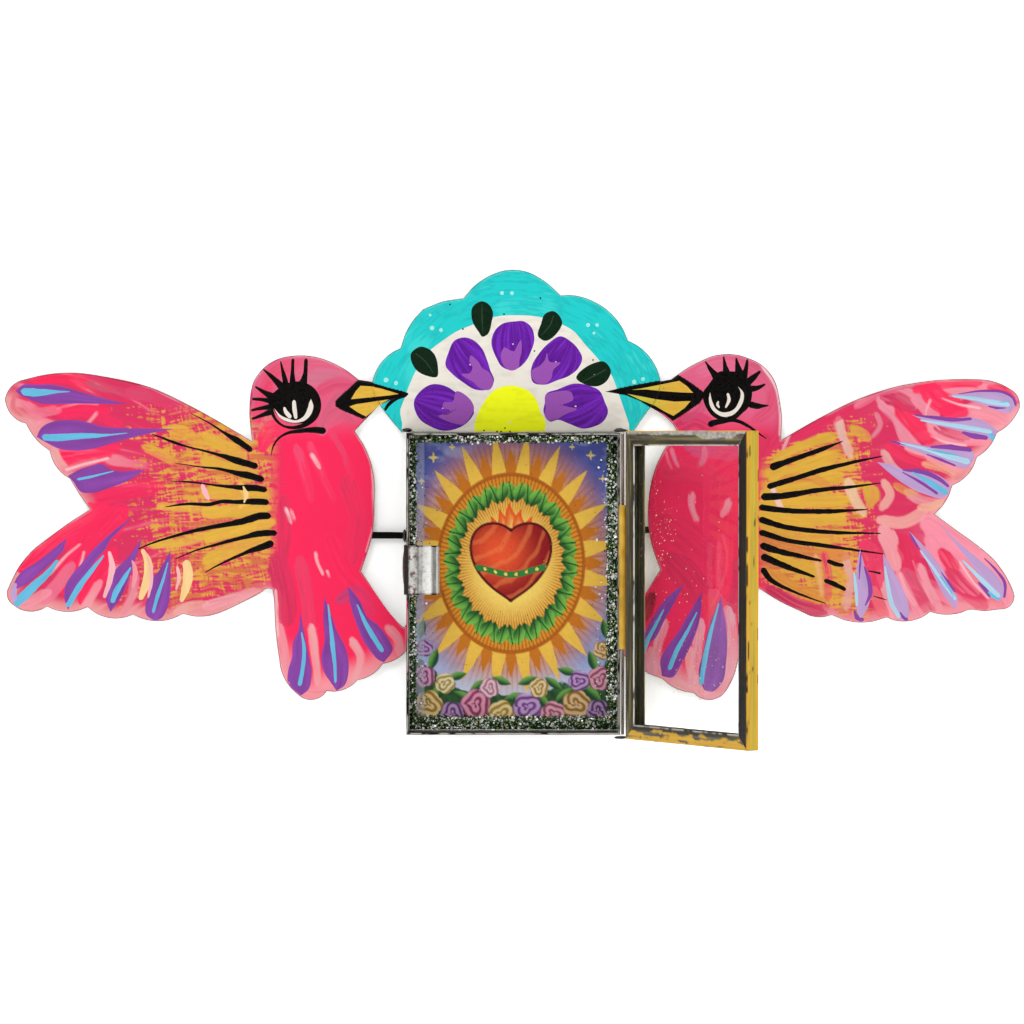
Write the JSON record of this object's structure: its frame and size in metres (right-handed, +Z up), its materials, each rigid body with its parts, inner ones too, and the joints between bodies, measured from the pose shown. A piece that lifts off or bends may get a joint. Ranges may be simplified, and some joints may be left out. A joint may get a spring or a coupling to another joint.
{
  "type": "wall shrine",
  "caption": "Painted tin wall shrine: a shallow box with a hinged glass door and a spring clasp, a scalloped crown above it and a cut-out bird on a rod at each side.",
  "frame": {"origin": "middle of the box's flat back face, in the plane of the wall that it hangs on", "axes": "+X to the viewer's right, along the birds' span; +Y into the wall; +Z up"},
  "size_m": [0.4307, 0.1037, 0.1978],
  "materials": {
    "bare_tin": "bright tinplate, hand-rubbed",
    "worn_tin": "darkened tinplate with scraped edges and yellow paint on its outer side",
    "black_paint": "satin enamel",
    "yellow_paint": "brushed ochre yellow",
    "pink_paint": "glossy hand-brushed enamel with feather strokes",
    "teal_paint": "glossy hand-brushed enamel with painted petals",
    "solder": "blackened solder",
    "glitter": "dark green glue full of silver flakes",
    "print": "glossy colour print on card",
    "steel_wire": "bright drawn wire",
    "glass": "clear window glass"
  },
  "bodies": {
    "shrine": {"box_back": "bare_tin", "box_walls": "worn_tin", "print_card": "print", "glitter_left": "glitter", "glitter_right": "glitter", "glitter_top": "glitter", "glitter_bottom": "glitter", "crown": "teal_paint", "crown_solder_left": "solder", "crown_solder_right": "solder", "hanging_loop": "steel_wire", "loop_solder_left": "solder", "loop_solder_right": "solder", "bird_left": "pink_paint", "bird_right": "pink_paint", "rod_left": "black_paint", "rod_right": "black_paint", "rod_solder_left": "solder", "rod_solder_right": "solder", "bird_solder_left": "solder", "bird_solder_right": "solder", "beak_solder_left": "solder", "beak_solder_right": "solder", "tail_solder_left": "solder", "tail_solder_right": "solder", "hinge_wire": "steel_wire", "hinge_solder_top": "solder", "hinge_solder_bottom": "solder", "clasp_solder": "solder"},
    "door": {"hinge_knuckle": "yellow_paint", "door_stile_hinge": "worn_tin", "door_stile_free": "worn_tin", "door_rail_top": "worn_tin", "door_rail_bottom": "worn_tin", "door_glass": "glass", "door_solder_top_hinge": "solder", "door_solder_top_free": "solder", "door_solder_bottom_hinge": "solder", "door_solder_bottom_free": "solder"},
    "clasp": {"clasp": "bare_tin"}
  },
  "joints": [
    {"name": "door_hinge", "type": "hinge", "parent": "shrine", "child": "door", "pos_m": [0.0459, -0.0268, 0], "axis": [0, 0, 1], "range_deg": [-123, 57]},
    {"name": "clasp_flex", "type": "hinge", "parent": "shrine", "child": "clasp", "pos_m": [-0.04555, -0.013, 0.0061], "axis": [0, 0, -1], "range_deg": [0, 45], "stiffness_Nm_per_rad": 0.02}
  ]
}
